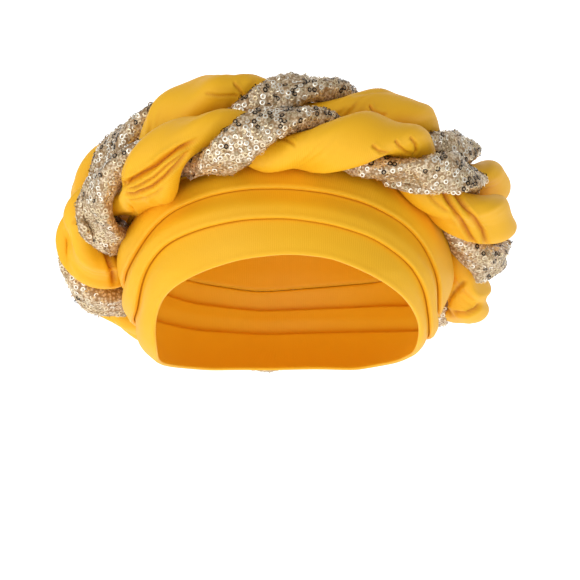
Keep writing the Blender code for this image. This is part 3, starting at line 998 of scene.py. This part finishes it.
class TurbanSequins(bpy.types.PropertyGroup):
    """Size and spread of the ring sequins."""
    diameter: FloatProperty(name="Diameter", default=2.75 * MM, unit="LENGTH",
                            description="Outer diameter of a ring")
    hole: FloatProperty(name="Hole", default=1.45 * MM, unit="LENGTH",
                        description="Diameter of the hole in a ring")
    spacing: FloatProperty(name="Spacing", default=2.2 * MM, unit="LENGTH",
                           description="Least distance between the middles of two rings")
    lift: FloatProperty(name="Lift", default=0.25 * MM, unit="LENGTH",
                        description="How far a ring stands off its cloth")
    cupping: FloatProperty(name="Cupping", default=0.05, subtype="FACTOR",
                           description="Rise of the hole's edge as a share of the diameter")
    tilt: FloatProperty(name="Tilt", default=math.radians(12), unit="ROTATION",
                        description="Usual tilt of a ring off its cloth")
    tries: IntProperty(name="Tries", default=24000,
                       description="Places tried for a ring on each tube")


class TurbanColours(bpy.types.PropertyGroup):
    """Colours of the cloths and sequins."""
    satin: FloatVectorProperty(name="Satin", default=linear_colour("#F9BE1E"), subtype="COLOR",
                               description="Golden yellow of the satin")
    satin_shade: FloatVectorProperty(name="Satin shade", default=linear_colour("#F5B417"),
                                     subtype="COLOR",
                                     description="Slightly deeper yellow, in slow patches")
    # Painted shade: the orange laid into the satin in creases and under folds, where shade falls
    satin_crease_shade: FloatVectorProperty(name="Satin crease", default=linear_colour("#D27A0A"),
                                      subtype="COLOR", description="Orange deep in a crease")
    tulle: FloatVectorProperty(name="Tulle", default=linear_colour("#EAD6B6"), subtype="COLOR",
                               description="Small sequins between the rings")
    tulle_shade: FloatVectorProperty(name="Tulle shade", default=linear_colour("#A5835A"),
                                     subtype="COLOR", description="Gaps between small sequins")
    ring: FloatVectorProperty(name="Ring", default=linear_colour("#EAD4A8"), subtype="COLOR",
                              description="Champagne film of the rings")
    # Painted reflection and painted highlight: colours of rings that mirror the dark or flash
    ring_dark_reflection: FloatVectorProperty(name="Dark ring", default=linear_colour("#1E1610"),
                                   subtype="COLOR", description="A ring turned from the light")
    ring_flash_highlight: FloatVectorProperty(name="Light ring", default=linear_colour("#FFF9E8"),
                                    subtype="COLOR", description="A ring that flashes")


class TurbanStudio(bpy.types.PropertyGroup):
    """The studio's lights and floor."""
    key_power: FloatProperty(name="Key power", default=6.5, unit="POWER",
                             description="Power of the large soft light at the front left")
    fill_power: FloatProperty(name="Fill power", default=4.0, unit="POWER",
                              description="Power of the soft light by the camera")
    world_strength: FloatProperty(name="Room light", default=0.45,
                                  description="Strength of the even white light all round")
    backdrop_glow: FloatProperty(name="Backdrop glow", default=0.57,
                                 description="Light that comes through the paper backdrop")
    floor_height: FloatProperty(name="Floor height", default=-0.32, unit="LENGTH",
                                description="Height of the floor under the cap")


class TURBAN_OT_strips(bpy.types.Operator):
    """Make the hem band and the two pleats of the cap"""
    bl_idname = "turban.strips"
    bl_label = "Hem band and pleats"

    def execute(self, context):
        cap = context.scene.turban_cap
        for name, flat in STRIP_FLAT.items():
            grid, painted_shade = strip_grid(name, cap)
            cloth = even_cloth(grid, flat[0], 2 * flat[1])
            piece = grid_object(f"{name}_cloth", grid, cloth, satin_finish())
            keep_painted_shade(piece, painted_shade)
            stand_for(piece, name)
        return {"FINISHED"}


class TURBAN_OT_crown(bpy.types.Operator):
    """Make the dome of the cap"""
    bl_idname = "turban.crown"
    bl_label = "Crown"

    def execute(self, context):
        grid = crown_grid()
        cloth = even_cloth(grid, 2 * CROWN_FLAT[0], 0.5 * CROWN_FLAT[1])
        piece = grid_object("crown_cloth", grid, cloth, satin_finish(), False)
        weld = piece.modifiers.new("peak_weld", "WELD")
        weld.merge_threshold = PEAK_WELD
        wall = piece.modifiers.new("cloth_wall", "SOLIDIFY")
        wall.thickness = CROWN_WALL
        wall.offset = 1.0
        stand_for(piece, "crown")
        return {"FINISHED"}


class TURBAN_OT_satin_tubes(bpy.types.Operator):
    """Make the padded satin tube of each rope"""
    bl_idname = "turban.satin_tubes"
    bl_label = "Satin tubes"

    def execute(self, context):
        braid = context.scene.turban_braid
        for rope in ROPES:
            grid, painted_shade = satin_tube(rope, braid)
            cloth = tube_cloth(*SATIN_FLAT, *grid.shape[:2], "satin")
            piece = grid_object(f"{rope}_satin_tube", grid, cloth, satin_finish())
            keep_painted_shade(piece, painted_shade)
            stand_for(piece, f"{rope}_twist_satin")
        return {"FINISHED"}


class TURBAN_OT_sequin_tubes(bpy.types.Operator):
    """Make the padded sequinned tube of each rope, and lay its rings"""
    bl_idname = "turban.sequin_tubes"
    bl_label = "Sequinned tubes"

    def execute(self, context):
        scene = context.scene
        for rope in ROPES:
            grid = sequin_tube(rope, scene.turban_braid)
            cloth = finish_of("champagne_sequin_tulle", sequin_cloth)
            places = tube_cloth(*SEQUIN_FLAT, *grid.shape[:2], "sequin")
            piece = grid_object(f"{rope}_sequin_tube", grid, places, cloth)
            stand_for(piece, f"{rope}_twist_sequin")
            mesh = ring_sequins(rope, grid, scene.turban_sequins)
            mesh.materials.append(finish_of("champagne_sequin_film", sequin_film))
            rings = bpy.data.objects.new(mesh.name, mesh)
            scene.collection.objects.link(rings)
            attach(rings, "root")
        return {"FINISHED"}


class TURBAN_OT_studio(bpy.types.Operator):
    """Make the camera, the soft lights and the pale floor"""
    bl_idname = "turban.studio"
    bl_label = "Studio"

    def execute(self, context):
        studio = context.scene.turban_studio
        make_camera(context.scene)
        soft_light("key_light", (-1.2, -1.0, 0.65), 1.0, studio.key_power)
        soft_light("fill_light", (-0.1, -1.5, 0.0), 1.2, studio.fill_power)
        make_room(context.scene, studio)
        return {"FINISHED"}


class TURBAN_PT_pieces(bpy.types.Panel):
    """Lists the pieces of the turban beanie and their settings"""
    bl_idname = "TURBAN_PT_pieces"
    bl_label = "Turban Beanie"
    bl_space_type = "VIEW_3D"
    bl_region_type = "UI"
    bl_category = "Turban"

    def draw(self, context):
        layout = self.layout
        for operator in OPERATORS:
            layout.operator(operator.bl_idname)
        for group in SETTINGS:
            box = layout.box()
            settings = getattr(context.scene, group)
            for name in settings.__annotations__:
                box.prop(settings, name)


OPERATORS = (TURBAN_OT_strips, TURBAN_OT_crown, TURBAN_OT_satin_tubes, TURBAN_OT_sequin_tubes,
             TURBAN_OT_studio)
SETTINGS = {"turban_cap": TurbanCap, "turban_braid": TurbanBraid, "turban_sequins": TurbanSequins,
            "turban_colours": TurbanColours, "turban_studio": TurbanStudio}


def register():
    """Add the classes and the settings of the scene."""
    for made in (*SETTINGS.values(), *OPERATORS, TURBAN_PT_pieces):
        bpy.utils.register_class(made)
    for name, group in SETTINGS.items():
        setattr(bpy.types.Scene, name, PointerProperty(type=group))


def unregister():
    """Take the settings and the classes away again."""
    for name in SETTINGS:
        delattr(bpy.types.Scene, name)
    for made in reversed((*SETTINGS.values(), *OPERATORS, TURBAN_PT_pieces)):
        bpy.utils.unregister_class(made)


def main():
    """Make every piece in order."""
    register()
    bpy.ops.turban.studio()
    bpy.ops.turban.strips()
    bpy.ops.turban.crown()
    bpy.ops.turban.satin_tubes()
    bpy.ops.turban.sequin_tubes()
    bpy.context.view_layer.update()


if __name__ == "__main__":
    main()
